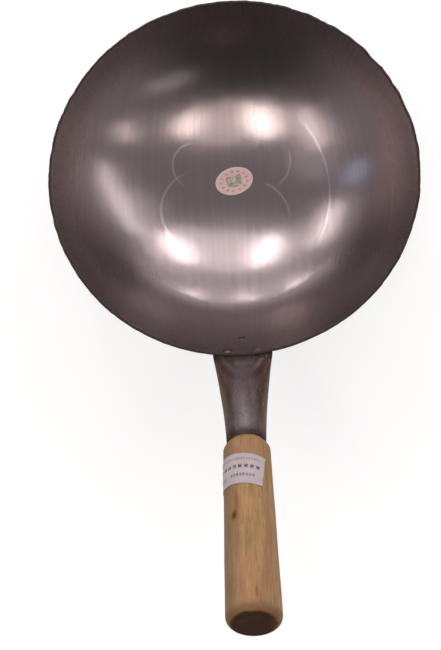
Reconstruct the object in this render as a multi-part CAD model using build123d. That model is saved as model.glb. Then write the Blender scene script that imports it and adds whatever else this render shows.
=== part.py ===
"""Round carbon steel wok with one riveted hollow handle and a turned wooden grip.

Millimetres. +Z is up, the rim is level, and the origin is the middle of the flat spot under the bowl.
The handle leaves the rim towards -Y and rises away from it.
"""
from build123d import *
from math import acos, asin, atan2, cos, degrees, hypot, pi, radians, sin
import os

# Bowl: a dish pressed from one round sheet, with a small flat spot blended into its floor
rim_radius = 150.0
bowl_height = 88.0
bowl_sheet = 1.8
flat_radius = 30.0
floor_blend_radius = 30.0
rim_edge_round = 0.35

# Handle socket: a rolled sheet tube, pressed flat at the bowl and bent to lie on its wall
handle_angle = 41.0
socket_sheet = 1.2
socket_length = 94.0
socket_mouth = 26.8
squash_below_rim = 1.0
squash_power = 1.6
least_flat = 0.3
bend_radius = 18.0
bend_below_rim = 3.0
section_shares = (0.08, 0.18, 0.32, 0.5, 0.7, 0.86, 1)
pocket_start = 9.0
tongue_width = 46.0
tongue_length = 41.0
tongue_corner_radius = 17.0
seat_gap = 0.05

# Rivets: two under the rim and one below them
rivet_shank_radius = 2.4
rivet_head_radius = 4.2
rivet_dome = 1.5
rivet_tail_radius = 4.6
rivet_tail_height = 1.9
rivet_spacing = 24.0
rivet_upper_drop = 7.0
rivet_lower_drop = 28.0
rivet_clearance = 0.05
seat_sink = 0.1

# Grip: turned wood with a tapered tenon driven into the socket
shoulder_step = 2.6
grip_length = 127.0
shoulder_depth = 4.0
shoulder_round = 3.0
butt_round = 4.8
tenon_length = 32.0
tenon_clearance = 0.25
shoulder_clearance = 0.05
grip_radius = socket_mouth / 2 + shoulder_step

# Grip nail: driven through the underside of the socket into the tenon
nail_from_mouth = 11.0
nail_shank_radius = 1.1
nail_head_radius = 2.6
nail_head_height = 1.0
nail_depth = 9.0
nail_clearance = 0.03
nail_seat_sink = 0.3

# Paper: an oval on the floor of the bowl, placed by a share of the rim's radius, and a label on the grip
paper = 0.15
paper_gap = 0.05
oval_length = 35.0
oval_width = 25.0
oval_place = 0.153
oval_turn = 12.0
label_height = 24.0
label_length = 42.0
label_from_shoulder = 29.5
label_centre_angle = 34.0
label_turn = 9.5

# The outside of the bowl is a sphere about a point on the Z axis. It passes through the rim and touches
# the floor's blend from outside, and the blend touches the flat floor at its edge.
blend_outer = floor_blend_radius + bowl_sheet
reach = rim_radius**2 + bowl_height**2 - flat_radius**2
drop = 2 * (bowl_height - blend_outer)
quadratic = 4 * blend_outer**2 - drop**2
linear = 4 * blend_outer**2 * bowl_height - reach * drop
constant = 4 * blend_outer**2 * (rim_radius**2 + bowl_height**2) - reach**2
sphere_z = (linear + (linear**2 - quadratic * constant) ** 0.5) / quadratic
outer_radius = hypot(rim_radius, sphere_z - bowl_height)
inner_radius = outer_radius - bowl_sheet
rim_angle = acos((sphere_z - bowl_height) / outer_radius)
blend_angle = atan2(flat_radius, sphere_z - blend_outer)


def dish_line(radius, blend):
    """Half section of one face of the sheet, from the Z axis out to the level of the rim."""
    floor_z = blend_outer - blend
    end_angle = acos((sphere_z - bowl_height) / radius)
    floor = Line((0, floor_z), (flat_radius, floor_z))
    knee = CenterArc((flat_radius, blend_outer), blend, 270, degrees(blend_angle))
    wall = CenterArc((0, sphere_z), radius, 270 + degrees(blend_angle), degrees(end_angle - blend_angle))
    return floor, knee, wall


def on_wall(radius, drop, across=0.0):
    """Frame on the handle's side of the bowl, drop below the rim along the wall: Z points out of the bowl."""
    angle = rim_angle - drop / outer_radius
    turn = asin(across / (radius * sin(angle)))
    out = Vector(sin(angle) * sin(turn), -sin(angle) * cos(turn), -cos(angle))
    origin = Vector(0, 0, sphere_z) + out * radius
    return Plane(origin=origin, x_dir=(cos(turn), sin(turn), 0), z_dir=out)


# Centre line of the socket: it leaves the wall at the bend and runs straight up to the mouth
tongue_mid_radius = outer_radius + seat_gap + socket_sheet
bend_start_angle = rim_angle - bend_below_rim / outer_radius
bend_length = bend_radius * (bend_start_angle - radians(handle_angle))
squash_start = bend_below_rim - squash_below_rim


def outward(angle):
    """Direction square to a line that rises away from the bowl at this angle, on its underside."""
    return Vector(0, -sin(angle), -cos(angle))


bend_start = Vector(0, 0, sphere_z) + outward(bend_start_angle) * tongue_mid_radius
underside = outward(radians(handle_angle))


def along_socket(distance):
    """Section plane of the socket at a distance from the bend's start: X across, Y to the top side, Z along."""
    bent = min(distance, bend_length)
    angle = bend_start_angle - bent / bend_radius
    tangent = Vector(0, -cos(angle), sin(angle))
    round_bend = (outward(bend_start_angle) - outward(angle)) * bend_radius
    return Plane(origin=bend_start + round_bend + tangent * (distance - bent), x_dir=(1, 0, 0), z_dir=tangent)


def socket_size(distance):
    """Outside width and height: the girth shrinks evenly while the squash eases off towards the mouth."""
    share = distance / socket_length
    eased = max(distance - squash_start, 0) / (socket_length - squash_start)
    flat_girth = 2 * (tongue_width - 2 * socket_sheet) + 2 * pi * socket_sheet
    girth = flat_girth + (pi * socket_mouth - flat_girth) * share
    spread = (tongue_width - flat_girth / pi) * (1 - eased) ** squash_power
    height = (girth - 2 * (girth / pi + spread)) / (pi - 2)
    return girth / pi + spread + least_flat, height


def socket_section(distance, inset):
    """Squashed round of the socket, curved like the bowl's wall, with its edge moved in by inset."""
    width, height = socket_size(distance)
    half_angle = degrees((width - height) / 2 / tongue_mid_radius)
    middle = CenterArc((0, tongue_mid_radius), tongue_mid_radius, 270 - half_angle, 2 * half_angle)
    return along_socket(distance) * SlotArc(middle, height - 2 * inset)


def dish(outer, inner):
    """Round shell between two face lines."""
    axis_line = Line(outer[0] @ 0, inner[0] @ 0)
    rim_line = Line(outer[2] @ 1, inner[2] @ 1)
    section = make_face([*outer, *inner, axis_line, rim_line])
    return revolve(Plane.XZ * section, Axis.Z)


def bowl():
    outer = dish_line(outer_radius, blend_outer)
    inner = dish_line(inner_radius, floor_blend_radius)
    pressed = dish(outer, inner)
    rim_edges = pressed.edges().filter_by(GeomType.CIRCLE).group_by(Axis.Z)[-1]
    return fillet(rim_edges, rim_edge_round) - rivet_holes()


def rivet_frames():
    return {
        "rivet_left": on_wall(inner_radius, rivet_upper_drop, -rivet_spacing / 2),
        "rivet_right": on_wall(inner_radius, rivet_upper_drop, rivet_spacing / 2),
        "rivet_lower": on_wall(inner_radius, rivet_lower_drop),
    }


def rivet_holes():
    reach = bowl_sheet + seat_gap + 2 * socket_sheet
    drill = Pos(0, 0, reach / 2) * Cylinder(rivet_shank_radius + rivet_clearance, 3 * reach)
    return [frame * drill for frame in rivet_frames().values()]


def handle_socket():
    straight = socket_length - bend_length
    stations = [0, squash_start, (squash_start + bend_length) / 2, bend_length]
    stations += [bend_length + straight * share for share in section_shares]
    shell = loft([socket_section(distance, 0) for distance in stations])
    hollow_stations = [pocket_start] + [distance for distance in stations if distance > 1.4 * pocket_start]
    hollow = loft([socket_section(distance, socket_sheet) for distance in hollow_stations])
    centre_line = Axis((0, 0, sphere_z), (1, 0, 0))
    tongue_sweep = degrees((tongue_length - bend_below_rim) / outer_radius)
    tongue = revolve(socket_section(0, 0), centre_line, tongue_sweep)
    outline_height = tongue_length + 2 * tongue_corner_radius
    outline = RectangleRounded(tongue_width + 2 * seat_gap, outline_height, tongue_corner_radius)
    outline_frame = on_wall(outer_radius, tongue_length - outline_height / 2)
    blank = extrude(outline_frame * outline, 4 * socket_sheet, both=True)
    return (tongue & blank) + (shell - hollow) - rivet_holes() - nail_hole()


def cap(radius, height, sink):
    """Domed disc on the XY plane, with a plain skirt below the plane that is later trimmed to its seat."""
    dome_radius = (radius**2 + height**2) / (2 * height)
    ball = Pos(0, 0, height - dome_radius) * Sphere(dome_radius)
    skirt = Pos(0, 0, -sink / 2) * Cylinder(radius, sink)
    return split(ball, Plane.XY) + skirt


def rivet(frame):
    """Domed head inside the bowl, shank through the sheets, and a formed tail on the outside."""
    seat = bowl_sheet + seat_gap + 2 * socket_sheet
    head = Rot(180, 0, 0) * cap(rivet_head_radius, rivet_dome, seat_sink)
    shank = Pos(0, 0, seat / 2) * Cylinder(rivet_shank_radius, seat + 2 * seat_sink)
    tail = Pos(0, 0, seat) * cap(rivet_tail_radius, rivet_tail_height, seat_sink)
    return frame * (head + shank + tail)


def grip_frame(distance=0.0):
    """Frame on the grip's axis, a distance past the socket's mouth: Z runs to the butt, Y to the top side."""
    return along_socket(socket_length + distance)


def nail_frame():
    """Frame on the socket's underside at the nail: Z points into the wood."""
    station = socket_length - nail_from_mouth
    height = socket_size(station)[1]
    middle = along_socket(station).origin
    return Plane(origin=middle + underside * (height / 2), x_dir=(1, 0, 0), z_dir=-underside)


def nail_hole():
    drill = Cylinder(nail_shank_radius + nail_clearance, 2 * nail_depth)
    return nail_frame() * drill


def grip():
    mouth_radius = socket_mouth / 2
    tenon_wide = socket_size(socket_length)[1] / 2 - socket_sheet - tenon_clearance
    tenon_narrow = socket_size(socket_length - tenon_length)[1] / 2 - socket_sheet - tenon_clearance
    front = shoulder_clearance
    profile = Polyline(
        (0, -tenon_length),
        (tenon_narrow, -tenon_length),
        (tenon_wide, front),
        (mouth_radius, front),
        (grip_radius, front + shoulder_depth),
        (grip_radius, grip_length),
        (0, grip_length),
        (0, -tenon_length),
    )
    section = make_face(profile)
    shoulder = section.vertices().sort_by_distance((grip_radius, front + shoulder_depth))[0]
    section = fillet(shoulder, shoulder_round)
    butt = section.vertices().sort_by_distance((grip_radius, grip_length))[0]
    section = fillet(butt, butt_round)
    turned = revolve(Plane.XZ * section, Axis.Z)
    return grip_frame() * turned - nail_hole()


def grip_nail():
    """Nail with a low domed head outside the socket and a cone point inside the tenon."""
    point = nail_shank_radius
    head = Rot(180, 0, 0) * cap(nail_head_radius, nail_head_height, nail_seat_sink)
    shank = Pos(0, 0, (nail_depth - point) / 2) * Cylinder(nail_shank_radius, nail_depth - point)
    tip = Pos(0, 0, nail_depth - point / 2) * Cone(nail_shank_radius, 0, point)
    return nail_frame() * (head + shank + tip)


def bowl_sticker():
    """Oval of paper that follows the floor, off centre towards the side away from the handle."""
    under = dish_line(inner_radius - paper_gap, floor_blend_radius - paper_gap)
    over = dish_line(inner_radius - paper_gap - paper, floor_blend_radius - paper_gap - paper)
    oval = Rot(0, 0, oval_turn) * Ellipse(oval_length / 2, oval_width / 2)
    cutter = Pos(0, oval_place * rim_radius, 0) * extrude(oval, bowl_height / 2)
    return dish(under, over) & cutter


def grip_label():
    """Rectangle of paper wrapped round the grip, slightly out of square."""
    inside = grip_radius + paper_gap
    sleeve = Cylinder(inside + paper, 2 * label_height) - Cylinder(inside, 2 * label_height)
    ends_at = inside * cos(label_length / 2 / inside)
    blank = Box(4 * grip_radius, 2 * grip_radius, label_height)
    blank = Rot(0, -label_turn, 0) * Pos(0, ends_at + grip_radius, 0) * blank
    return grip_frame(label_from_shoulder) * Rot(0, 0, label_centre_angle) * (sleeve & blank)


def build():
    os.makedirs("parts", exist_ok=True)
    dish = bowl()
    socket = handle_socket()
    nodes = {
        "bowl": dish,
        "handle_socket": socket,
        "wood_grip": grip(),
        "grip_nail": grip_nail() - socket,
        "bowl_sticker": bowl_sticker(),
        "grip_label": grip_label(),
    }
    for name, frame in rivet_frames().items():
        nodes[name] = rivet(frame) - dish - socket
    for name, solid in nodes.items():
        export_step(solid, f"parts/{name}.step")


build()
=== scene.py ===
import bmesh
import bpy
from math import atan2, cos, exp, hypot, pi, radians, sin, sqrt, tan
from mathutils import Matrix, Vector, noise


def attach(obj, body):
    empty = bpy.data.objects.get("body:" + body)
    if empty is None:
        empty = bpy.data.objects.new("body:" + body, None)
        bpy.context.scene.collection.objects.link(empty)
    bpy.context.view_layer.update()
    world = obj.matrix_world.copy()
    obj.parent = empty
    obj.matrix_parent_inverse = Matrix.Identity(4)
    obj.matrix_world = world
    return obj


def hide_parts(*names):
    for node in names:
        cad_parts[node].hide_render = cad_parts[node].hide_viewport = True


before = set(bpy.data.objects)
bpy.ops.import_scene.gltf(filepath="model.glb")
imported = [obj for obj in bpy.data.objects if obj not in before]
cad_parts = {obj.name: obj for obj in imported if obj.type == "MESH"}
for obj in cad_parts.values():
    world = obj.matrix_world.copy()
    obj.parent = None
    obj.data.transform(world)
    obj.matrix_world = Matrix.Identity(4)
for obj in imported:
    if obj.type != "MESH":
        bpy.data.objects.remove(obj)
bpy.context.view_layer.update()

# Helpers for shapes: a turned piece starts as half of its outline in the XZ plane, drawn with
# straight lines and arcs, and is then spun about Z. All lengths are in metres, and mm is one millimetre.
mm = 0.001
merge_distance = 0.005 * mm
Y_AXIS = (0, 1, 0)
Z_AXIS = (0, 0, 1)


def verts_in(geometry):
    return [item for item in geometry if isinstance(item, bmesh.types.BMVert)]


def edges_of(bm, ring):
    """Edges that have both ends in this ring of points."""
    members = set(ring)
    return [edge for edge in bm.edges if all(vert in members for vert in edge.verts)]


def step_out(bm, corner, x, z):
    """Carries the half outline on with a straight line to x, z and returns its new end."""
    end = bmesh.ops.extrude_vert_indiv(bm, verts=[corner])["verts"][0]
    end.co = (x, 0, z)
    return end


def sweep_out(bm, corner, centre, angle, steps):
    """Carries the half outline on with an arc about a centre and returns its new end."""
    swept = bmesh.ops.spin(bm, geom=[corner], cent=centre, axis=Y_AXIS, angle=-angle, steps=steps)
    return verts_in(swept["geom_last"])[0]


def turn_round(bm, steps):
    """Spins the half outline a full turn about Z and points its faces outwards."""
    outline = list(bm.verts) + list(bm.edges)
    bmesh.ops.spin(
        bm, geom=outline, cent=(0, 0, 0), axis=Z_AXIS, angle=2 * pi, steps=steps, use_merge=True
    )
    bmesh.ops.remove_doubles(bm, verts=bm.verts, dist=merge_distance)
    bmesh.ops.recalc_face_normals(bm, faces=bm.faces)


def object_from(name, bm):
    """Turns the bmesh into an object of the scene and frees it."""
    mesh = bpy.data.meshes.new(name)
    bm.to_mesh(mesh)
    bm.free()
    made = bpy.data.objects.new(name, mesh)
    bpy.context.scene.collection.objects.link(made)
    return made


def finish_piece(name, bm, materials, replaced):
    """Turns the bmesh into a smooth piece that rides on the wok and stands for these CAD nodes."""
    piece = object_from(name, bm)
    for polygon in piece.data.polygons:
        polygon.use_smooth = True
    for material in materials:
        piece.data.materials.append(material)
    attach(piece, "root")
    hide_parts(*replaced)
    return piece


# Helpers for materials: each adds one or a few shader nodes to a tree and returns an output that
# the next one takes. A colour is a tuple of red, green and blue, or such an output.
def new_material(name):
    material = bpy.data.materials.new(name)
    material.use_nodes = True
    material.node_tree.nodes.clear()
    return material, material.node_tree


def put(tree, kind, inputs=None, **settings):
    """Adds a shader node: an input takes a plain value or another node's output."""
    item = tree.nodes.new("ShaderNode" + kind)
    for key, value in settings.items():
        setattr(item, key, value)
    for key, value in (inputs or {}).items():
        if isinstance(value, bpy.types.NodeSocket):
            tree.links.new(value, item.inputs[key])
        else:
            item.inputs[key].default_value = value
    return item


def calc(tree, operation, first, second=0.0):
    return put(tree, "Math", {0: first, 1: second}, operation=operation).outputs[0]


def times(tree, first, second):
    return calc(tree, "MULTIPLY", first, second)


def plus(tree, first, second):
    return calc(tree, "ADD", first, second)


def minus(tree, first, second):
    return calc(tree, "SUBTRACT", first, second)


def unsigned(tree, value):
    return calc(tree, "ABSOLUTE", value)


def ramp(tree, value, low, high, to_low=0.0, to_high=1.0):
    """Goes smoothly from to_low, where the value is low, to to_high, where it is high."""
    inputs = {"Value": value, "From Min": low, "From Max": high, "To Min": to_low, "To Max": to_high}
    return put(tree, "MapRange", inputs, interpolation_type="SMOOTHSTEP").outputs[0]


def within(tree, value, middle, half):
    """1 where the value lies less than half from the middle, and 0 elsewhere."""
    return calc(tree, "LESS_THAN", unsigned(tree, minus(tree, value, middle)), half)


def swayed(tree, value, pattern, span):
    """Shifts a value by a noise pattern, up to half the span each way."""
    return plus(tree, value, times(tree, minus(tree, pattern, 0.5), span))


def combine(tree, operation, first, second=(0, 0, 0)):
    """Vector maths that gives a vector."""
    return put(tree, "VectorMath", {0: first, 1: second}, operation=operation).outputs[0]


def measure(tree, operation, first, second=(0, 0, 0)):
    """Vector maths that gives a number."""
    return put(tree, "VectorMath", {0: first, 1: second}, operation=operation).outputs["Value"]


def split(tree, vector):
    return put(tree, "SeparateXYZ", {0: vector}).outputs


def object_place(tree):
    return put(tree, "TexCoord").outputs["Object"]


def place_from(tree, matrix):
    """Place on the piece as seen from the frame of this matrix."""
    inputs = {
        "Vector": object_place(tree),
        "Location": matrix.to_translation(),
        "Rotation": matrix.to_euler(),
    }
    return put(tree, "Mapping", inputs, vector_type="TEXTURE").outputs[0]


def speckle(tree, place, scale, detail=2.0, roughness=0.5):
    """Cloudy noise with this many cells to the unit of place."""
    inputs = {"Vector": place, "Scale": scale, "Detail": detail, "Roughness": roughness}
    return put(tree, "TexNoise", inputs).outputs[0]


def streaks(tree, place, scales, detail=2.0, roughness=0.5):
    """Noise with its own number of cells on each axis, so that it runs in streaks."""
    return speckle(tree, combine(tree, "MULTIPLY", place, scales), 1.0, detail, roughness)


def mix_colour(tree, share, first, second):
    """From the first colour, where the share is 0, to the second, where it is 1."""
    first, second = ((*colour, 1) if isinstance(colour, tuple) else colour for colour in (first, second))
    return put(tree, "Mix", {0: share, 6: first, 7: second}, data_type="RGBA").outputs[2]


def mottled(tree, pattern, first, second, low=0.3, high=0.7):
    """Two colours that take turns as a noise pattern does."""
    return mix_colour(tree, ramp(tree, pattern, low, high), first, second)


def tinted(tree, colour, share, strength, tint):
    """Lays a tint over a colour, with this strength where the share is 1."""
    return mix_colour(tree, times(tree, share, strength), colour, tint)


def finish_shader(tree, inputs, height):
    """Principled surface with this bump height in metres."""
    inputs["Normal"] = put(tree, "Bump", {"Height": height, "Strength": 1.0, "Distance": 1.0}).outputs[0]
    shader = put(tree, "BsdfPrincipled", inputs)
    put(tree, "OutputMaterial", {0: shader.outputs[0]})


# Bowl: a disc of carbon steel sheet pressed into a round dish with a small flat spot under it.
# The sheet was brushed in one direction before pressing, then a band along the rim was hammered
# in short marks that point at the middle, and the edge was trimmed by hand.
bowl_height = 88.0 * mm
flat_radius = 30.0 * mm
blend_radius = 31.8 * mm
wall_centre = Vector((0, 0, 165.526 * mm))
outer_radius = 168.850 * mm
blend_angle = radians(12.644)
outer_rim_angle = radians(62.668)
dish_centre = Vector((0, 0, 169.558 * mm))
dish_radius = 168.958 * mm
rim_angle = radians(61.137)
edge_round = 0.45 * mm
edge_zone = 0.1 * mm
vert_slack = 0.01 * mm
face_slack = 0.2 * mm
spokes = 288

# Hand-made unevenness: dents all over the sheet, bites along the trimmed rim, and waves of the
# front wall that fade out toward the sides. Each wave has its angle from straight down, its half
# width and its depth, which is outward where it is positive.
dent_depth = 0.10 * mm
dent_cells = 5.6
small_dent_cells = 14
small_dent_share = 0.45
dent_inward = 0.4
trim_depth = 1.6 * mm
trim_fade = 9 * mm
trim_cells = 9
small_trim_cells = 41
small_trim_share = 0.6
trim_rise = 0.9
front_power = 1.5
waves = ((radians(39.2), radians(4.9), 1.10 * mm), (radians(50.0), radians(4.5), -0.75 * mm))

# Painted highlights on the floor: thin light arcs that stand in for lines of reflected lamp light.
# Each row has the arc's centre and radius in millimetres, and the heading of its middle and half of
# its span in degrees.
glint_arc_width = 1.7 * mm
glint_arc_core = 0.1 * mm
glint_arc_waver = 3 * mm
glint_arc_full_share = 0.4
painted_glint_arcs = (
    ((-34.2, 36.5, 0), 20.8, 168, 92),
    ((-27.3, -5.3, 0), 39.8, 164, 62),
    ((26.5, 36.8, 0), 25.4, -23, 46),
    ((9.9, -15.2, 0), 38.2, 34, 34),
    ((-18.5, 4.6, 0), 102.5, 4, 38),
)

# The hammered band: how far it reaches down from the rim, how much further toward the handle, and
# how softly it ends. The further reach toward the handle is painted shade. The scuffed zone is a dull
# strip of the front wall just below it.
band_depth = 24.0 * mm
shaded_band_extra = 12 * mm
band_cloud = 12 * mm
band_fade_below = 18 * mm
band_fade_above = 11 * mm
scuff_start = 80 * mm
scuff_full = 69 * mm


def painted_glint_arc(tree, flat_place, cloud, centre, radius, middle, half):
    """1 on a thin arc that wavers a little and fades at its ends, and 0 away from it."""
    away_from = combine(tree, "SUBTRACT", flat_place, Vector(centre) * mm)
    length = measure(tree, "LENGTH", away_from)
    heading = (cos(radians(middle)), sin(radians(middle)), 0)
    facing = calc(tree, "DIVIDE", measure(tree, "DOT_PRODUCT", away_from, heading), length)
    facing = ramp(tree, facing, cos(radians(half)), cos(radians(half * glint_arc_full_share)))
    off_line = swayed(tree, unsigned(tree, minus(tree, length, radius * mm)), cloud, glint_arc_waver)
    return times(tree, ramp(tree, unsigned(tree, off_line), glint_arc_width, glint_arc_core), facing)


def bowl_steel(name, inside):
    """Bare brushed steel. Inside, the grain is clear and the hammered band is darker and duller. Toward
    the handle the dark band reaches further down as painted shade, and inside, thin light arcs on the
    floor are painted highlights.
    """
    material, tree = new_material(name)
    place = object_place(tree)
    xyz = split(tree, place)
    depth = minus(tree, dish_centre.z, xyz[2])
    across = times(tree, calc(tree, "ARCTAN2", xyz[0], depth), dish_radius)
    brushed = put(tree, "CombineXYZ", {0: across, 1: xyz[1]}).outputs[0]
    grain = streaks(tree, brushed, (2600, 22, 1))
    streak = streaks(tree, brushed, (230, 5, 1), 3.0)
    cloud = speckle(tree, place, 22.0, 3.0)

    flat_place = combine(tree, "MULTIPLY", place, (1, 1, 0))
    radius = measure(tree, "LENGTH", flat_place)
    slope = times(tree, calc(tree, "ARCTAN2", radius, depth), dish_radius)
    drop = minus(tree, dish_radius * rim_angle, slope)
    # Painted shade: toward the handle the dark band reaches further down than the hammered band itself.
    band_widened_as_shade = ramp(tree, calc(tree, "DIVIDE", xyz[1], radius), -0.35, -1.0, 0.0, shaded_band_extra)
    ragged = minus(tree, plus(tree, drop, times(tree, cloud, band_cloud)), band_widened_as_shade)
    band = ramp(tree, ragged, band_depth + band_fade_below, band_depth - band_fade_above)

    drop_place = put(tree, "CombineXYZ", {2: times(tree, drop, 110.0)}).outputs[0]
    round_place = combine(tree, "MULTIPLY", combine(tree, "NORMALIZE", flat_place), (75, 75, 0))
    marks = speckle(tree, combine(tree, "ADD", round_place, drop_place), 1.0, 2.0, 0.55)
    around = times(tree, calc(tree, "ARCTAN2", xyz[1], xyz[0]), 420.0)
    strokes = calc(tree, "SINE", plus(tree, around, times(tree, marks, 7.0)))
    strokes = times(tree, strokes, ramp(tree, marks, 0.30, 0.62))

    plain = mottled(tree, streak, (0.308, 0.253, 0.257), (0.329, 0.271, 0.275))
    dark = mottled(tree, marks, (0.196, 0.156, 0.153), (0.232, 0.187, 0.184))
    darker = combine(tree, "MULTIPLY", dark, (0.88, 0.88, 0.88))
    dark = mix_colour(tree, ramp(tree, strokes, -1.0, 1.0), darker, dark)
    colour = tinted(tree, plain, band, 0.85 if inside else 0.3, dark)
    if inside:
        # Painted highlights: thin light arcs on the floor in place of lines of reflected lamp light.
        for centre, arc_radius, middle, half in painted_glint_arcs:
            line = painted_glint_arc(tree, flat_place, cloud, centre, arc_radius, middle, half)
            colour = tinted(tree, colour, line, 0.42, (0.640, 0.560, 0.560))
        rough = ramp(tree, grain, 0.25, 0.75, 0.18, 0.26)
    else:
        rough = ramp(tree, grain, 0.3, 0.7, 0.28, 0.44)
    rough = plus(tree, rough, times(tree, band, 0.14))
    scuffed = ramp(tree, band_widened_as_shade, 0.0, 10 * mm, 0.0, 0.16)
    scuffed = times(tree, ramp(tree, drop, scuff_start, scuff_full), scuffed)

    hammered = plus(tree, times(tree, marks, 0.030 * mm), times(tree, strokes, 0.010 * mm))
    height = plus(tree, times(tree, hammered, band), times(tree, grain, 0.0009 * mm))
    inputs = {
        "Base Color": colour,
        "Metallic": 1.0,
        "Roughness": plus(tree, rough, scuffed),
        "Anisotropic": 0.60,
        "Tangent": put(tree, "CombineXYZ", {0: 1.0}).outputs[0],
    }
    finish_shader(tree, inputs, height)
    return material


def edge_steel(name):
    """The trimmed edge of the sheet: dark, dull and a little rough from the shears."""
    material, tree = new_material(name)
    bite = speckle(tree, object_place(tree), 420.0, 3.0)
    inputs = {
        "Base Color": mix_colour(tree, bite, (0.035, 0.026, 0.023), (0.080, 0.062, 0.057)),
        "Metallic": 1.0,
        "Roughness": ramp(tree, bite, 0.2, 0.8, 0.42, 0.62),
    }
    finish_shader(tree, inputs, times(tree, bite, 0.08 * mm))
    return material


def make_uneven(vert):
    """Moves a point of the pressed sheet by the dents, the waves of the front wall and the trim."""
    outward = (vert.co - dish_centre).normalized()
    drop = dish_radius * (rim_angle - outward.angle(Vector((0, 0, -1))))
    on_inside = abs((vert.co - dish_centre).length - dish_radius) < vert_slack
    dent = noise.noise(outward * dent_cells)
    dent += small_dent_share * noise.noise(outward * small_dent_cells)
    wall_share = min(1, vert.co.xy.length / (2 * flat_radius))
    vert.co -= outward * dent_depth * (dent + dent_inward) * wall_share
    if on_inside and outward.y < 0:
        front = (-outward.y / hypot(outward.x, outward.y)) ** front_power
        for angle, width, depth in waves:
            past = (rim_angle - drop / dish_radius - angle) / width
            vert.co += outward * front * depth * exp(-(past**2) / 2)
    level = hypot(outward.x, outward.y)
    up_wall = Vector((outward.x * cos(rim_angle), outward.y * cos(rim_angle), level * trim_rise))
    trim = abs(noise.noise(outward * trim_cells))
    trim += small_trim_share * abs(noise.noise(outward * small_trim_cells))
    vert.co -= up_wall * trim_depth * trim * exp(-max(0, drop) / trim_fade)


bm = bmesh.new()
corner = bm.verts.new((0, 0, 0))
for share in (0.35, 0.7, 1.0):
    corner = step_out(bm, corner, flat_radius * share, 0)
corner = sweep_out(bm, corner, (flat_radius, 0, blend_radius), blend_angle, 8)
corner = sweep_out(bm, corner, wall_centre, outer_rim_angle - blend_angle, 50)
corner = step_out(bm, corner, dish_radius * sin(rim_angle), bowl_height)
sweep_out(bm, corner, dish_centre, -rim_angle, 72)
turn_round(bm, spokes)
for face in bm.faces:
    middle = face.calc_center_median()
    on_dish = abs((middle - dish_centre).length - dish_radius) < face_slack
    face.material_index = 0 if on_dish else 1
    if middle.z > bowl_height - edge_zone:
        face.material_index = 2
for vert in bm.verts:
    make_uneven(vert)
inside_steel = bowl_steel("bowl_inside_steel", True)
outside_steel = bowl_steel("bowl_outside_steel", False)
bowl_materials = [inside_steel, outside_steel, edge_steel("bowl_edge_steel")]
bowl_piece = finish_piece("bowl_shell", bm, bowl_materials, ["bowl"])
soften = bowl_piece.modifiers.new("edge", "BEVEL")
soften.width = edge_round
soften.segments = 3
soften.limit_method = "ANGLE"
soften.angle_limit = radians(50)
soften.material = 2

# Handle socket: a sheet tube rolled round the grip's end and welded along its underside. It was
# pressed flat at the other end, with a pinched three-cornered facet on its top, then bent to lie
# on the outside of the bowl as a tongue with rounded corners.
socket_sheet = 1.2 * mm
socket_length = 94.0 * mm
socket_mouth = 26.8 * mm
handle_angle = radians(41.0)
bend_radius = 18.0 * mm
bend_below_rim = 3.0 * mm
squash_start = 2.0 * mm
squash_power = 1.6
tongue_width = 46.0 * mm
tongue_length = 41.0 * mm
tongue_corner = 17.0 * mm
seat_gap = 0.05 * mm
facet_start = 7.0 * mm
facet_end = 36.0 * mm
facet_dish = 0.75 * mm
round_from = 50.0 * mm
round_power = 0.8
fullness = 1.03
seam_depth = 0.40 * mm
socket_dent = 0.22 * mm
socket_sway = 0.12 * mm
socket_dent_from = 20 * mm
socket_dent_cells = 55
socket_dent_cells_along = 38
ring_points = 96
tongue_middle = outer_radius + seat_gap + socket_sheet
tongue_tip = -tongue_length + bend_below_rim
bend_start_angle = outer_rim_angle - bend_below_rim / outer_radius
bend_length = bend_radius * (bend_start_angle - handle_angle)
straight_length = socket_length - bend_length


def away(angle):
    """Direction square to the socket on its underside, where the socket rises at this angle."""
    return Vector((0, -sin(angle), -cos(angle)))


def socket_place(distance):
    """Place of the section at a distance past the bend's start. Below the start it follows the wall."""
    bent = max(0, min(distance, bend_length))
    angle = bend_start_angle - bent / bend_radius + min(distance, 0) / tongue_middle
    tangent = Vector((0, -cos(angle), sin(angle)))
    origin = wall_centre + away(bend_start_angle) * tongue_middle
    origin += (away(bend_start_angle) - away(angle)) * bend_radius + tangent * max(0, distance - bent)
    if distance < 0:
        origin = wall_centre + away(angle) * tongue_middle
    return Matrix.Translation(origin) @ Matrix.Rotation(pi / 2 - angle, 4, "X")


def socket_size(distance):
    """Half width and half height of the tube, which grows rounder towards the mouth."""
    if distance < 0:
        short = max(0, tongue_corner - (tongue_length - bend_below_rim + distance))
        return tongue_width / 2 - tongue_corner + sqrt(tongue_corner**2 - short**2), socket_sheet
    eased = max(distance - squash_start, 0) / (socket_length - squash_start)
    flat_girth = 2 * (tongue_width - 2 * socket_sheet) + 2 * pi * socket_sheet
    girth = flat_girth + (pi * socket_mouth - flat_girth) * distance / socket_length
    spread = (tongue_width - flat_girth / pi) * (1 - eased) ** squash_power
    height = (girth - 2 * (girth / pi + spread)) / (pi - 2)
    return (girth / pi + spread) / 2, height / 2


def facet_height(distance):
    """Height of the pinched facet, which rises in a shallow dish from the flat sheet to the full tube."""
    reach = (distance - facet_start) / (facet_end - facet_start)
    straight = socket_sheet + reach * (socket_size(facet_end)[1] - socket_sheet)
    return straight - facet_dish * sin(pi * reach)


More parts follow.
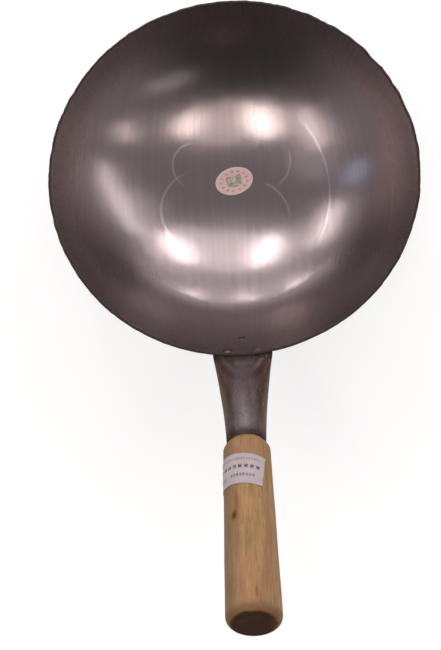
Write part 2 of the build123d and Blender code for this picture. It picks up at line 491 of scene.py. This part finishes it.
def shape_ring(ring, distance, inset):
    """Moves a ring of points onto the tube's section: flat with folded edges, then oval, then round."""
    half_width, half_height = socket_size(distance)
    roundness = min(1, max(0, distance / round_from)) ** round_power
    half_width -= inset
    half_height -= inset
    place = socket_place(distance)
    for index, vert in enumerate(ring):
        turn = 2 * pi * index / ring_points - pi / 2
        on_top = sin(turn) > 0
        x = half_width * cos(turn)
        folded = half_height
        if abs(x) > half_width - half_height:
            folded = sqrt(max(0, half_height**2 - (abs(x) - half_width + half_height) ** 2))
        y = folded + (half_height * fullness * abs(sin(turn)) - folded) * roundness
        if on_top and inset == 0 and facet_start < distance < facet_end:
            y = min(y, facet_height(distance))
        if not on_top:
            y = -y
        cell = (x * socket_dent_cells, y * socket_dent_cells, distance * socket_dent_cells_along)
        dent = noise.noise(Vector(cell)) * min(1, max(0, distance / socket_dent_from))
        y += dent * socket_dent
        x += dent * socket_sway
        if index == 0 and distance > bend_length:
            y += seam_depth
        curved = min(abs(x), max(0, half_width - half_height))
        vert.co = place @ Vector((x, y + curved**2 / (2 * tongue_middle), 0))


def socket_steel(name):
    """Heat-darkened sheet, brown at its sides, where the darker tone is also painted shade, and with
    painted shade at both ends. Its top has a painted highlight down its crest and along the facet's two
    folds, and the whole of it has dark specks and fine scratches."""
    material, tree = new_material(name)
    local = place_from(tree, socket_place(socket_length))
    xyz = split(tree, local)
    aside, from_mouth = xyz[0], xyz[2]
    brushed = streaks(tree, local, (900, 900, 40), 3.0)
    cloud = speckle(tree, local, 60.0, 4.0, 0.6)
    smear = streaks(tree, local, (170, 170, 26), 3.0)

    # Sides: a brown heat tint, made darker than the top as painted shade.
    side = ramp(tree, unsigned(tree, aside), 4.5 * mm, 12.5 * mm)
    side = times(tree, side, ramp(tree, cloud, 0.2, 0.6, 0.65, 1.0))
    top = mottled(tree, smear, (0.165, 0.130, 0.130), (0.235, 0.192, 0.196))
    brown_tint_and_shade = mottled(tree, smear, (0.105, 0.062, 0.046), (0.150, 0.096, 0.074))
    colour = mix_colour(tree, side, top, brown_tint_and_shade)
    colour = mix_colour(tree, ramp(tree, cloud, 0.52, 0.75, 0.0, 0.35), colour, (0.150, 0.130, 0.150))

    # Painted highlight: a light strip down the crest of the socket's top.
    off_middle = unsigned(tree, plus(tree, aside, times(tree, cloud, 3 * mm)))
    crest_highlight = ramp(tree, off_middle, 7 * mm, 0.5 * mm)
    crest_highlight = times(tree, crest_highlight, ramp(tree, from_mouth, -80 * mm, -60 * mm))
    colour = tinted(tree, colour, crest_highlight, 0.5, (0.330, 0.285, 0.290))

    # Painted highlight: light lines along the facet's two folds.
    fold_aside = times(tree, plus(tree, from_mouth, 56 * mm), -0.48)
    off_fold = unsigned(tree, minus(tree, unsigned(tree, aside), fold_aside))
    folded = ramp(tree, off_fold, 3.4 * mm, 0.2 * mm)
    folded = times(tree, folded, ramp(tree, from_mouth, -62 * mm, -82 * mm))
    colour = tinted(tree, colour, folded, 0.55, (0.340, 0.284, 0.282))

    # Painted shade at both ends: in the crease where the sheet bends out from under the rim, and at the
    # mouth beside the wood's shoulder.
    end_shade_reach = swayed(tree, from_mouth, cloud, 9 * mm)
    end_shade = plus(tree, ramp(tree, end_shade_reach, -80 * mm, -87 * mm), ramp(tree, end_shade_reach, -13 * mm, -1.5 * mm))
    colour = tinted(tree, colour, end_shade, 0.78, (0.036, 0.022, 0.017))
    specks = ramp(tree, speckle(tree, local, 420.0, 3.0, 0.6), 0.55, 0.68, 0.0, 0.45)
    colour = mix_colour(tree, specks, colour, (0.070, 0.046, 0.038))
    scratches = ramp(tree, streaks(tree, local, (1300, 1300, 95), 1.0), 0.66, 0.74, 0.0, 0.5)
    colour = mix_colour(tree, scratches, colour, (0.420, 0.360, 0.360))

    rough = plus(tree, ramp(tree, cloud, 0.25, 0.75, 0.32, 0.46), times(tree, end_shade, 0.28))
    height = plus(tree, times(tree, brushed, 0.012 * mm), times(tree, cloud, 0.10 * mm))
    finish_shader(tree, {"Base Color": colour, "Metallic": 1.0, "Roughness": rough}, height)
    return material


# Sections of the tube, each with its distance past the bend's start and how far it is drawn in from
# the outside: the rounded tip, the tongue, the bend, the straight tube, and back into the mouth.
tongue_steps = (0.35, 1, 2, 3.5, 5.5, 8, 11, 14, 17, 22, 27, 32, 36)
stations = [(tongue_tip, 0.9 * mm), (tongue_tip, 0.35 * mm)]
stations += [(tongue_tip + step * mm, 0) for step in tongue_steps]
stations += [(bend_length * step / 8, 0) for step in range(9)]
stations += [(bend_length + straight_length * step / 44, 0) for step in range(1, 44)]
stations += [(socket_length - 0.3 * mm, 0), (socket_length, 0.3 * mm), (socket_length, 0.9 * mm)]
stations += [(socket_length - depth * mm, socket_sheet) for depth in (0.3, 15, 36)]

bm = bmesh.new()
first = bmesh.ops.create_circle(bm, cap_ends=False, segments=ring_points, radius=10 * mm)["verts"]
ring = list(first)
shape_ring(ring, *stations[0])
for distance, inset in stations[1:]:
    grown = bmesh.ops.extrude_edge_only(bm, edges=edges_of(bm, ring))["geom"]
    fresh = set(verts_in(grown))
    for index, vert in enumerate(ring):
        linked = [edge.other_vert(vert) for edge in vert.link_edges]
        ring[index] = next(other for other in linked if other in fresh)
    shape_ring(ring, distance, inset)
for loop in (first, ring):
    bmesh.ops.edgeloop_fill(bm, edges=[edge for edge in edges_of(bm, loop) if edge.is_boundary])
bmesh.ops.recalc_face_normals(bm, faces=bm.faces)
finish_piece("socket_tube", bm, [socket_steel("socket_dark_steel")], ["handle_socket"])

# Rivets: three steel rivets, two under the rim and one below them. Each has a low domed head inside
# the bowl and a wider hammered tail on the tongue. The table says how far across and how far below
# the rim each one sits, in millimetres.
rivet_shank = 2.4 * mm
rivet_head = 4.2 * mm
rivet_dome = 1.5 * mm
rivet_tail = 4.6 * mm
rivet_tail_height = 1.9 * mm
head_lip = 0.15 * mm
tail_lip = 0.1 * mm
lip_share = 0.97
blow_depth = 0.30 * mm
blow_flat = 0.12 * mm
blow_cells = 260
rivet_wobble = 0.045
rivet_drops = {"rivet_left": (-12.0, 7.0), "rivet_right": (12.0, 7.0), "rivet_lower": (0.0, 28.0)}


def rivet_steel(name):
    """Dull grey steel with hammer marks and spots of dirt."""
    material, tree = new_material(name)
    place = object_place(tree)
    blows = speckle(tree, place, 520.0, 2.0)
    dirt = speckle(tree, place, 190.0, 3.0)
    inputs = {
        "Base Color": mottled(tree, dirt, (0.075, 0.056, 0.052), (0.190, 0.152, 0.148), 0.35, 0.65),
        "Metallic": 1.0,
        "Roughness": ramp(tree, blows, 0.3, 0.7, 0.26, 0.44),
    }
    finish_shader(tree, inputs, times(tree, blows, 0.16 * mm))
    return material


def dome_steps(radius, height, seat, up, count):
    """Points down a dome from its crown to its edge on the seat, as radius and height."""
    ball = (radius**2 + height**2) / (2 * height)
    half = atan2(radius, ball - height)
    steps = [half * step / count for step in range(count + 1)]
    return [(ball * sin(angle), seat + up * (ball * cos(angle) - ball + height)) for angle in steps]


rivet_material = rivet_steel("rivet_hammered_steel")
centre_gap = dish_centre.z - wall_centre.z
for name, (across, drop) in rivet_drops.items():
    angle = outer_rim_angle - drop * mm / outer_radius
    turn = across * mm / (outer_radius * sin(angle))
    inside = sqrt(dish_radius**2 - (centre_gap * sin(angle)) ** 2) - centre_gap * cos(angle)
    rivet_seat = outer_radius - inside + seat_gap + 2 * socket_sheet
    bm = bmesh.new()
    corner = bm.verts.new((0, 0, -rivet_dome))
    for x, z in dome_steps(rivet_head, rivet_dome, 0, -1, 7)[1:]:
        corner = step_out(bm, corner, x, z)
    corner = step_out(bm, corner, rivet_head * lip_share, head_lip)
    corner = step_out(bm, corner, rivet_shank, head_lip)
    corner = step_out(bm, corner, rivet_shank, rivet_seat - tail_lip)
    corner = step_out(bm, corner, rivet_tail * lip_share, rivet_seat - tail_lip)
    for x, z in reversed(dome_steps(rivet_tail, rivet_tail_height, rivet_seat, 1, 7)):
        corner = step_out(bm, corner, x, z)
    turn_round(bm, 32)
    for vert in bm.verts:
        blow = noise.noise(vert.co * blow_cells + Vector((across * 3, drop, 0)))
        reach = vert.co.xy.length
        if reach > rivet_shank * 1.1:
            vert.co.xy *= 1 + rivet_wobble * blow
        past_sheet = vert.co.z > rivet_seat or vert.co.z < 0
        if past_sheet and reach < rivet_head * 0.8:
            vert.co.z -= (blow_depth * max(0, blow) + blow_flat) * (1 if vert.co.z > 0 else -1)
    out = Vector((sin(angle) * sin(turn), -sin(angle) * cos(turn), -cos(angle)))
    side = Vector((cos(turn), sin(turn), 0))
    seat = Matrix((side, out.cross(side), out)).transposed().to_4x4()
    seat = Matrix.Translation(wall_centre + out * inside) @ seat
    bmesh.ops.transform(bm, matrix=seat, verts=bm.verts)
    finish_piece(name + "_peened", bm, [rivet_material], [name])

# Grip: one turned length of pale wood. Its tenon is driven into the socket, its shoulder closes the
# mouth, and its butt is rounded over to a flat end of dark end grain, whose darkness is partly painted
# shade.
grip_radius = 16.0 * mm
grip_length = 127.0 * mm
shoulder_depth = 4.0 * mm
shoulder_round = 3.0 * mm
shoulder_gap = 0.05 * mm
butt_round = 4.8 * mm
tenon_length = 32.0 * mm
tenon_gap = 0.25 * mm
tenon_chamfer = 1 * mm
wood_wander = 0.16 * mm
wander_cells = Vector((40, 40, 26))
small_wander_cells = Vector((90, 90, 80))
small_wander_share = 0.4
wander_inward = 0.35
knot_swell = 0.018
knot_reach = 4.5 * mm
knot_place = (-8.9, 13.3, 64.8)
pith = (0.010, -0.030, 0.0)
body_steps = 26
grip_place = socket_place(socket_length)


def growth_rings(tree, place, density, warp):
    """Year rings about the pith, from 0 to 1, this many radians to the metre and warped a little."""
    from_pith = measure(tree, "DISTANCE", place, pith)
    phase = plus(tree, times(tree, from_pith, density), warp)
    return ramp(tree, calc(tree, "SINE", phase), -1.0, 1.0)


def wood_spot(tree, local, tint, centre, wide, tall, edge):
    """Soft-edged spot on the wood, given by its middle and its size across and along the grip in mm."""
    away_from = combine(tree, "SUBTRACT", local, Vector(centre) * mm)
    squeezed = combine(tree, "MULTIPLY", away_from, (1000 / wide, 1000 / wide, 1000 / tall))
    reach = swayed(tree, measure(tree, "LENGTH", squeezed), tint, 0.8)
    return ramp(tree, reach, 1.0 + edge, 1.0 - edge)


def grip_wood(name):
    """Pale turned wood with its grain along the grip, pink and olive patches, painted shade on its left
    side, one knot with a streak above it, a red fleck, and a butt of dark end grain that also carries
    painted shade."""
    material, tree = new_material(name)
    local = place_from(tree, grip_place)
    xyz = split(tree, local)
    sway = streaks(tree, local, (30, 30, 12))
    fibre = streaks(tree, local, (1400, 1400, 80), 3.0, 0.6)
    bands = streaks(tree, local, (240, 240, 24), 4.0, 0.65)
    patch = streaks(tree, local, (60, 60, 34))
    tint = streaks(tree, local, (110, 110, 60))
    grime = streaks(tree, local, (420, 420, 150), 3.0, 0.6)
    straightened = combine(tree, "MULTIPLY", local, (1, 1, 0.06))
    rings = growth_rings(tree, straightened, 2600.0, times(tree, sway, 14.0))

    colour = mottled(tree, bands, (0.300, 0.166, 0.070), (0.450, 0.268, 0.126))
    colour = mix_colour(tree, ramp(tree, patch, 0.42, 0.70, 0.0, 0.55), colour, (0.385, 0.198, 0.118))
    colour = mix_colour(tree, ramp(tree, tint, 0.54, 0.74, 0.0, 0.45), colour, (0.262, 0.198, 0.096))
    colour = mix_colour(tree, ramp(tree, grime, 0.48, 0.72, 0.0, 0.40), colour, (0.235, 0.122, 0.052))
    colour = tinted(tree, colour, rings, 0.16, (0.245, 0.128, 0.055))
    colour = mix_colour(tree, ramp(tree, fibre, 0.46, 0.70, 0.0, 0.48), colour, (0.195, 0.102, 0.046))
    # Painted shade: the grip's left side is darkened as if less lit.
    left_side_shade = ramp(tree, swayed(tree, xyz[0], patch, 14 * mm), -3.5 * mm, -14.5 * mm)
    colour = tinted(tree, colour, left_side_shade, 0.62, (0.155, 0.106, 0.056))

    halo = wood_spot(tree, local, tint, (-8.9, 13.3, 62.0), 3.6, 9.0, 0.9)
    streak = wood_spot(tree, local, tint, (-7.6, 14.1, 55.0), 1.3, 8.0, 0.8)
    knot = wood_spot(tree, local, tint, knot_place, 1.9, 3.0, 0.8)
    fleck = wood_spot(tree, local, tint, (2.4, 15.8, 116.5), 0.8, 3.6, 0.6)
    colour = tinted(tree, colour, halo, 0.55, (0.300, 0.140, 0.052))
    colour = tinted(tree, colour, streak, 0.85, (0.240, 0.110, 0.040))
    colour = mix_colour(tree, knot, colour, (0.085, 0.036, 0.012))
    colour = tinted(tree, colour, fleck, 0.75, (0.240, 0.080, 0.036))

    flattened = combine(tree, "MULTIPLY", local, (1, 1, 0))
    end_rings = growth_rings(tree, flattened, 3600.0, times(tree, tint, 2.5))
    # Butt: dark end grain, darkened further as painted shade, with painted shade also on the rounded edge
    # before it.
    end_grain_and_shade = mix_colour(tree, end_rings, (0.030, 0.012, 0.005), (0.062, 0.029, 0.014))
    edge = swayed(tree, xyz[2], patch, 1.6 * mm)
    at_end = ramp(tree, edge, grip_length - 0.9 * mm, grip_length - 0.1 * mm)
    near_end = ramp(tree, edge, grip_length - 7.0 * mm, grip_length - 1.5 * mm, 0.0, 0.70)
    colour = mix_colour(tree, near_end, colour, (0.170, 0.090, 0.044))
    colour = mix_colour(tree, at_end, colour, end_grain_and_shade)

    height = plus(tree, times(tree, fibre, 0.020 * mm), times(tree, bands, 0.030 * mm))
    height = minus(tree, height, times(tree, knot, 0.25 * mm))
    rough = plus(tree, times(tree, fibre, 0.16), times(tree, at_end, 0.25))
    inputs = {"Base Color": colour, "Roughness": plus(tree, rough, 0.42), "Specular IOR Level": 0.15}
    finish_shader(tree, inputs, height)
    return material


bm = bmesh.new()
tenon_wide = socket_mouth / 2 - socket_sheet - tenon_gap
tenon_narrow = socket_size(socket_length - tenon_length)[1] - socket_sheet - tenon_gap
corner = bm.verts.new((0, 0, -tenon_length))
corner = step_out(bm, corner, tenon_narrow - tenon_chamfer, -tenon_length)
corner = step_out(bm, corner, tenon_narrow, -tenon_length + tenon_chamfer)
corner = step_out(bm, corner, tenon_wide, shoulder_gap)
corner = step_out(bm, corner, socket_mouth / 2, shoulder_gap)
slant = atan2(grip_radius - socket_mouth / 2, shoulder_depth)
tangent = shoulder_round * tan(slant / 2)
slant_end = shoulder_gap + shoulder_depth - tangent * cos(slant)
corner = step_out(bm, corner, grip_radius - tangent * sin(slant), slant_end)
shoulder_centre = (grip_radius - shoulder_round, 0, shoulder_gap + shoulder_depth + tangent)
corner = sweep_out(bm, corner, shoulder_centre, slant, 8)
body_start = corner.co.z
body_length = grip_length - butt_round - body_start
for step in range(1, body_steps + 1):
    corner = step_out(bm, corner, grip_radius, body_start + body_length * step / body_steps)
corner = sweep_out(bm, corner, (grip_radius - butt_round, 0, grip_length - butt_round), pi / 2, 12)
for share in (0.75, 0.4, 0.0):
    corner = step_out(bm, corner, (grip_radius - butt_round) * share, grip_length)
turn_round(bm, 96)
for vert in bm.verts:
    if vert.co.z > 1 * mm and vert.co.xy.length > 1 * mm:
        wave = noise.noise(vert.co * wander_cells)
        wave += small_wander_share * noise.noise(vert.co * small_wander_cells)
        vert.co.xy *= 1 + wood_wander * (wave - wander_inward) / grip_radius
    to_knot = (vert.co - Vector(knot_place) * mm).length
    vert.co.xy *= 1 + knot_swell * exp(-((to_knot / knot_reach) ** 2))
bmesh.ops.transform(bm, matrix=grip_place, verts=bm.verts)
finish_piece("turned_grip", bm, [grip_wood("grip_pale_wood")], ["wood_grip"])

# Grip nail: a small round-headed nail through the underside of the socket into the tenon. The CAD
# nail is shown as it is, in spotted rusty steel.
nail_material, tree = new_material("nail_steel")
rust = speckle(tree, object_place(tree), 420.0, 3.0)
inputs = {
    "Base Color": mottled(tree, rust, (0.200, 0.160, 0.150), (0.120, 0.062, 0.036), 0.4, 0.65),
    "Metallic": 1.0,
    "Roughness": ramp(tree, rust, 0.3, 0.7, 0.32, 0.58),
}
finish_shader(tree, inputs, times(tree, rust, 0.10 * mm))
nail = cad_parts["grip_nail"]
nail.data.materials.clear()
nail.data.materials.append(nail_material)

# Label: a rectangle of thin white paper glued round the grip a little askew, with plain printed
# rules and bars. Its corners have begun to lift.
paper = 0.12 * mm
label_height = 24.0 * mm
label_length = 42.0 * mm
label_from_shoulder = 29.5 * mm
label_side = radians(-34.0)
label_turn = radians(9.5)
label_radius = grip_radius + 0.09 * mm
lift_across = 5 * mm
lift_along = 4 * mm
edge_lift = 0.10 * mm
corner_lift = 0.45 * mm
label_ripple = 0.05 * mm
label_ripple_cells = 160

# Rows of bars on the label: thin dashes, bold bars, and two lower rows. Each has its middle, height
# and pitch in millimetres, the inked share of the pitch, its start and end along the label in
# millimetres, a shift in pitches and its darkness.
label_rows = (
    (7.6, 1.9, 1.7, 0.60, -19.0, 17.0, 0.3, 0.50),
    (1.6, 2.5, 3.9, 0.62, -13.0, 17.5, 0.1, 1.00),
    (-5.9, 3.6, 2.7, 0.66, -19.0, -5.0, 0.0, 0.62),
    (-5.2, 2.2, 2.1, 0.66, -1.5, 15.5, 0.5, 0.75),
)


def paper_sheet(name, bm, material, replaced):
    """Gives a printed skin the thickness of paper."""
    piece = finish_piece(name, bm, [material], replaced)
    backing = piece.modifiers.new("paper", "SOLIDIFY")
    backing.thickness = paper
    backing.offset = 1


def flat_map(bm):
    """Stores each point's place on the flat paper, in millimetres, as its UV."""
    layer = bm.loops.layers.uv.new("flat")
    for face in bm.faces:
        for loop in face.loops:
            loop[layer].uv = (loop.vert.co.x / mm, loop.vert.co.y / mm)


def bar_row(tree, uv, middle, tall, pitch, share, start, end, shift):
    """1 on a row of bars: one every pitch, each filling a share of it, from start to end."""
    near = within(tree, uv[1], middle, tall / 2)
    phase = calc(tree, "FRACT", plus(tree, calc(tree, "DIVIDE", uv[0], pitch), shift))
    inked = calc(tree, "LESS_THAN", phase, share)
    printed = times(tree, calc(tree, "GREATER_THAN", uv[0], start), calc(tree, "LESS_THAN", uv[0], end))
    return times(tree, times(tree, near, inked), printed)


def label_print(name):
    """White paper with the rows of bars in worn dark ink."""
    material, tree = new_material(name)
    uv = split(tree, put(tree, "UVMap", uv_map="flat").outputs[0])
    place = object_place(tree)
    pulp = speckle(tree, place, 900.0, 3.0)
    stain = speckle(tree, place, 90.0, 2.0)
    paper_colour = mottled(tree, stain, (0.440, 0.372, 0.396), (0.520, 0.440, 0.456))
    ink = 0.0
    for *sizes, darkness in label_rows:
        ink = calc(tree, "MAXIMUM", ink, times(tree, bar_row(tree, uv, *sizes), darkness))
    ink = times(tree, ink, ramp(tree, pulp, 0.30, 0.60, 0.35, 1.0))
    colour = mix_colour(tree, ink, paper_colour, (0.050, 0.036, 0.050))
    inputs = {"Base Color": colour, "Roughness": 0.62, "Specular IOR Level": 0.3}
    finish_shader(tree, inputs, times(tree, pulp, 0.010 * mm))
    return material


bm = bmesh.new()
bmesh.ops.create_grid(bm, x_segments=56, y_segments=28, size=0.5)
bmesh.ops.scale(bm, vec=(label_length, label_height, 1), verts=bm.verts)
flat_map(bm)
askew = Matrix.Rotation(-label_turn, 2)
for vert in bm.verts:
    edge_x = max(0, abs(vert.co.x) - label_length / 2 + lift_across) / lift_across
    edge_y = max(0, abs(vert.co.y) - label_height / 2 + lift_along) / lift_along
    lift = edge_lift * edge_x**2 + corner_lift * (edge_x * edge_y) ** 2
    lift += label_ripple * (1 + noise.noise(vert.co * label_ripple_cells))
    across, up = askew @ vert.co.xy
    turn = label_side + across / label_radius
    reach = label_radius + lift
    vert.co = grip_place @ Vector((reach * sin(turn), reach * cos(turn), label_from_shoulder - up))
bmesh.ops.recalc_face_normals(bm, faces=bm.faces)
middle = grip_place @ Vector((0, 0, label_from_shoulder))
if sum((face.calc_center_median() - middle).dot(face.normal) for face in bm.faces) < 0:
    bmesh.ops.reverse_faces(bm, faces=bm.faces)
paper_sheet("wrapped_label", bm, label_print("label_paper_print"), ["grip_label"])

# Sticker: a small oval of pale pink paper on the bowl's floor, with a ring of small red marks round
# a plain green patch. Its edge lifts here and there.
oval_long = 17.5 * mm
oval_short = 12.5 * mm
oval_offset = 23.0 * mm
oval_turn = radians(12.0)
oval_gap = 0.05 * mm
oval_ripple = 0.04 * mm
oval_ripple_cells = 190
oval_lift = 0.35 * mm
oval_lift_cells = 95
lift_from = 0.86
sticker_rings = 14


def sticker_print(name):
    """Pale pink paper with a lighter border, a ring of red marks, and a green patch in four parts
    with a dark broken line round it."""
    material, tree = new_material(name)
    flat = put(tree, "UVMap", uv_map="flat").outputs[0]
    place = object_place(tree)
    pulp = speckle(tree, place, 1100.0, 3.0)
    smudge = speckle(tree, place, 260.0, 3.0)
    oval = combine(tree, "MULTIPLY", flat, (mm / oval_long, mm / oval_short, 0))
    reach = measure(tree, "LENGTH", oval)
    oval_xyz = split(tree, oval)
    colour = mottled(tree, smudge, (0.640, 0.440, 0.430), (0.720, 0.510, 0.495))

    around = calc(tree, "ARCTAN2", oval_xyz[1], oval_xyz[0])
    beads = swayed(tree, calc(tree, "SINE", times(tree, around, 13.0)), smudge, 5.0)
    ring = times(tree, within(tree, reach, 0.70, 0.085), ramp(tree, beads, -0.1, 0.9))
    colour = tinted(tree, colour, ring, 0.60, (0.420, 0.130, 0.135))
    colour = mix_colour(tree, ramp(tree, reach, 0.88, 0.95, 0.0, 0.6), colour, (0.700, 0.590, 0.590))

    uv = split(tree, flat)
    wide = unsigned(tree, uv[0])
    tall = unsigned(tree, uv[1])
    block = times(tree, ramp(tree, wide, 6.8, 5.2), ramp(tree, tall, 4.6, 3.4))
    gaps = times(tree, ramp(tree, wide, 0.15, 0.7), ramp(tree, tall, 0.15, 0.6))
    patch = times(tree, block, plus(tree, times(tree, gaps, 0.65), 0.25))
    green = mottled(tree, smudge, (0.130, 0.230, 0.140), (0.420, 0.430, 0.360), 0.40, 0.62)
    colour = tinted(tree, colour, patch, 0.85, green)
    border = times(tree, ramp(tree, wide, 7.6, 6.4), ramp(tree, tall, 5.6, 4.6))
    border = times(tree, minus(tree, border, block), ramp(tree, smudge, 0.42, 0.55))
    colour = tinted(tree, colour, border, 0.75, (0.190, 0.075, 0.070))

    inputs = {"Base Color": colour, "Roughness": 0.45, "Specular IOR Level": 0.35}
    finish_shader(tree, inputs, times(tree, pulp, 0.008 * mm))
    return material


def floor_height(reach):
    """Height of the bowl's inside at a distance from the middle."""
    return dish_centre.z - sqrt(dish_radius**2 - reach**2)


bm = bmesh.new()
ring = bmesh.ops.create_circle(bm, cap_ends=False, segments=96, radius=1.0)["verts"]
for step in range(1, sticker_rings):
    ring = verts_in(bmesh.ops.extrude_edge_only(bm, edges=edges_of(bm, ring))["geom"])
    bmesh.ops.scale(bm, vec=(1 - 1 / (sticker_rings - step + 1),) * 3, verts=ring)
bmesh.ops.edgeloop_fill(bm, edges=edges_of(bm, ring))
bmesh.ops.poke(bm, faces=[face for face in bm.faces if len(face.verts) > 4])
bmesh.ops.scale(bm, vec=(oval_long, oval_short, 1), verts=bm.verts)
flat_map(bm)
for vert in bm.verts:
    edge = hypot(vert.co.x / oval_long, vert.co.y / oval_short)
    loose = max(0, noise.noise(vert.co * oval_lift_cells + Vector((3, 1, 0))) + 0.1)
    lift = oval_gap + oval_ripple * (1 + noise.noise(vert.co * oval_ripple_cells))
    lift += oval_lift * max(0, edge - lift_from) / (1 - lift_from) * loose
    vert.co = Matrix.Rotation(oval_turn, 3, "Z") @ vert.co + Vector((0, oval_offset, 0))
    vert.co.z = floor_height(vert.co.xy.length) + lift
bmesh.ops.recalc_face_normals(bm, faces=bm.faces)
if sum(face.normal.z for face in bm.faces) < 0:
    bmesh.ops.reverse_faces(bm, faces=bm.faces)
paper_sheet("oval_sticker", bm, sticker_print("sticker_paper_print"), ["bowl_sticker"])

# Floor: a pale plane just under the wok. The camera sees it as nearly white, and fully white far off,
# while it still takes the wok's soft shadow and lights it from below.
floor_reach = 6.0
floor_gap = 0.2 * mm
floor_glow = 1.22
bm = bmesh.new()
bmesh.ops.create_grid(bm, x_segments=1, y_segments=1, size=floor_reach)
bmesh.ops.translate(bm, verts=bm.verts, vec=(0, 0, -floor_gap))
floor = object_from("floor", bm)
material, tree = new_material("floor_paint")
path = put(tree, "LightPath").outputs
lit = put(tree, "BsdfDiffuse", {"Color": (0.86, 0.86, 0.86, 1)})
pale = put(tree, "Emission", {"Color": (1, 1, 1, 1), "Strength": floor_glow})
reach = measure(tree, "LENGTH", object_place(tree))
share = times(tree, path["Is Camera Ray"], ramp(tree, reach, 0.25, 1.0, 0.6, 1.0))
shade = put(tree, "MixShader", {0: share, 1: lit.outputs[0], 2: pale.outputs[0]})
put(tree, "OutputMaterial", {0: shade.outputs[0]})
floor.data.materials.append(material)

# Room: white where the camera sees it. What the steel reflects is a dim room that is darkest beyond
# the handle's end, with a soft glow on the far side of the wok.
world = bpy.data.worlds.new("studio")
bpy.context.scene.world = world
world.use_nodes = True
tree = world.node_tree
tree.nodes.clear()
path = put(tree, "LightPath").outputs
toward = put(tree, "TexCoord").outputs["Generated"]
gloom = ramp(tree, measure(tree, "DOT_PRODUCT", toward, (-0.12, -0.95, 0.25)), 0.35, 0.95, 0.38, 0.07)
glow = ramp(tree, measure(tree, "DOT_PRODUCT", toward, (0.05, 0.88, 0.47)), 0.72, 0.97, 0.0, 0.60)
room = put(tree, "Background", {"Color": (1.0, 0.96, 0.97, 1), "Strength": plus(tree, gloom, glow)})
backdrop = put(tree, "Background", {"Color": (1, 1, 1, 1), "Strength": 1.0})
sky = put(tree, "MixShader", {0: path["Is Camera Ray"], 1: room.outputs[0], 2: backdrop.outputs[0]})
put(tree, "OutputWorld", {0: sky.outputs[0]})

# Lamps: soft ovals that face the bowl, all at one distance. Each row has the spot on the bowl that
# shows the lamp, in millimetres, the direction from there to it, its lean, width and height in
# degrees, its radiance and its colour.
lamp_distance = 1.7
warm = (1.0, 0.93, 0.87)
white = (1.0, 0.98, 0.97)
cool = (0.52, 0.68, 1.0)
pale_green = (0.92, 1.0, 0.93)
lamps = {
    "back_left": ((-38, 72, 21), (0.38, -0.42, 0.82), 0, 16, 11, 3.8, warm),
    "back_right": ((28, 71, 19), (-0.30, -0.42, 0.86), -17, 20, 13, 5.6, warm),
    "back_strip": ((-4, 73, 18), (0.03, -0.45, 0.89), 0, 56, 22, 0.9, warm),
    "far_left": ((-92, 60, 41), (0.85, -0.23, 0.48), 0, 9, 9, 2.4, warm),
    "far_right": ((72, 59, 28), (-0.70, -0.25, 0.66), 0, 24, 5, 4.6, warm),
    "haze_right": ((64, 36, 18), (-0.70, -0.10, 0.70), 0, 34, 26, 0.35, white),
    "haze_left": ((-72, -28, 22), (0.66, 0.48, 0.58), 0, 34, 18, 0.45, white),
    "front_left": ((-55, -41, 15), (0.45, 0.68, 0.58), -30, 20, 6, 8.0, white),
    "front_right": ((25, -46, 9), (-0.23, 0.73, 0.65), 55, 20, 7, 8.0, white),
    "front_strip": ((-10, -43, 7), (0.10, 0.72, 0.69), 0, 52, 24, 0.9, white),
    "side_left": ((-102, 2, 36), (0.86, 0.32, 0.40), 15, 34, 7, 3.2, white),
    "side_right": ((78, -29, 23), (-0.66, 0.57, 0.49), 10, 22, 4, 8.0, white),
    "window": ((105, 12, 38), (-0.89, 0.24, 0.38), 0, 9, 9, 1.5, cool),
    "low_left": ((-41, -82, 28), (0.28, 0.92, 0.27), 0, 5, 3, 14.0, white),
    "low_middle": ((5, -87, 25), (-0.05, 0.95, 0.29), 0, 4, 3, 12.0, white),
    "low_right": ((49, -79, 28), (-0.36, 0.89, 0.27), 0, 6, 3, 12.0, white),
    "pale_left": ((-64, 98, 48), (0.61, -0.63, 0.48), 0, 6, 6, 1.2, pale_green),
    "pale_right": ((-44, 105, 45), (0.43, -0.72, 0.54), 0, 14, 5, 0.9, pale_green),
}
for name, (spot, direction, lean, wide, tall, radiance, colour) in lamps.items():
    light = bpy.data.lights.new(name, "AREA")
    light.shape = "ELLIPSE"
    light.size = 2 * lamp_distance * tan(radians(wide / 2))
    light.size_y = 2 * lamp_distance * tan(radians(tall / 2))
    light.energy = radiance * pi * (pi / 4 * light.size * light.size_y)
    light.color = colour
    lamp = bpy.data.objects.new(name, light)
    toward = Vector(direction).normalized()
    sideways = Vector(Z_AXIS).cross(toward).normalized()
    turn = Matrix((sideways, toward.cross(sideways), toward)).transposed().to_4x4()
    turn = turn @ Matrix.Rotation(radians(lean), 4, "Z")
    lamp.matrix_world = Matrix.Translation(Vector(spot) * mm + toward * lamp_distance) @ turn
    lamp.visible_camera = False
    bpy.context.scene.collection.objects.link(lamp)

# Camera: above the handle and a little to the right, looking down into the bowl, with the handle
# toward the bottom of the picture.
camera_place = (0.00709, -0.22387, 0.66007)
camera_heading = radians(-3.343)
camera_tilt = radians(9.659)
camera_roll = radians(2.831)
camera_data = bpy.data.cameras.new("camera")
camera_data.lens = 41.54
camera_data.sensor_width = 36.0
camera_data.sensor_fit = "AUTO"
camera = bpy.data.objects.new("camera", camera_data)
turn = Matrix.Rotation(camera_heading, 4, "Z") @ Matrix.Rotation(camera_tilt, 4, "X")
turn = turn @ Matrix.Rotation(camera_roll, 4, "Y")
camera.matrix_world = Matrix.Translation(camera_place) @ turn
bpy.context.scene.collection.objects.link(camera)
bpy.context.scene.camera = camera
bpy.context.scene.view_settings.view_transform = "Standard"

bpy.context.view_layer.update()
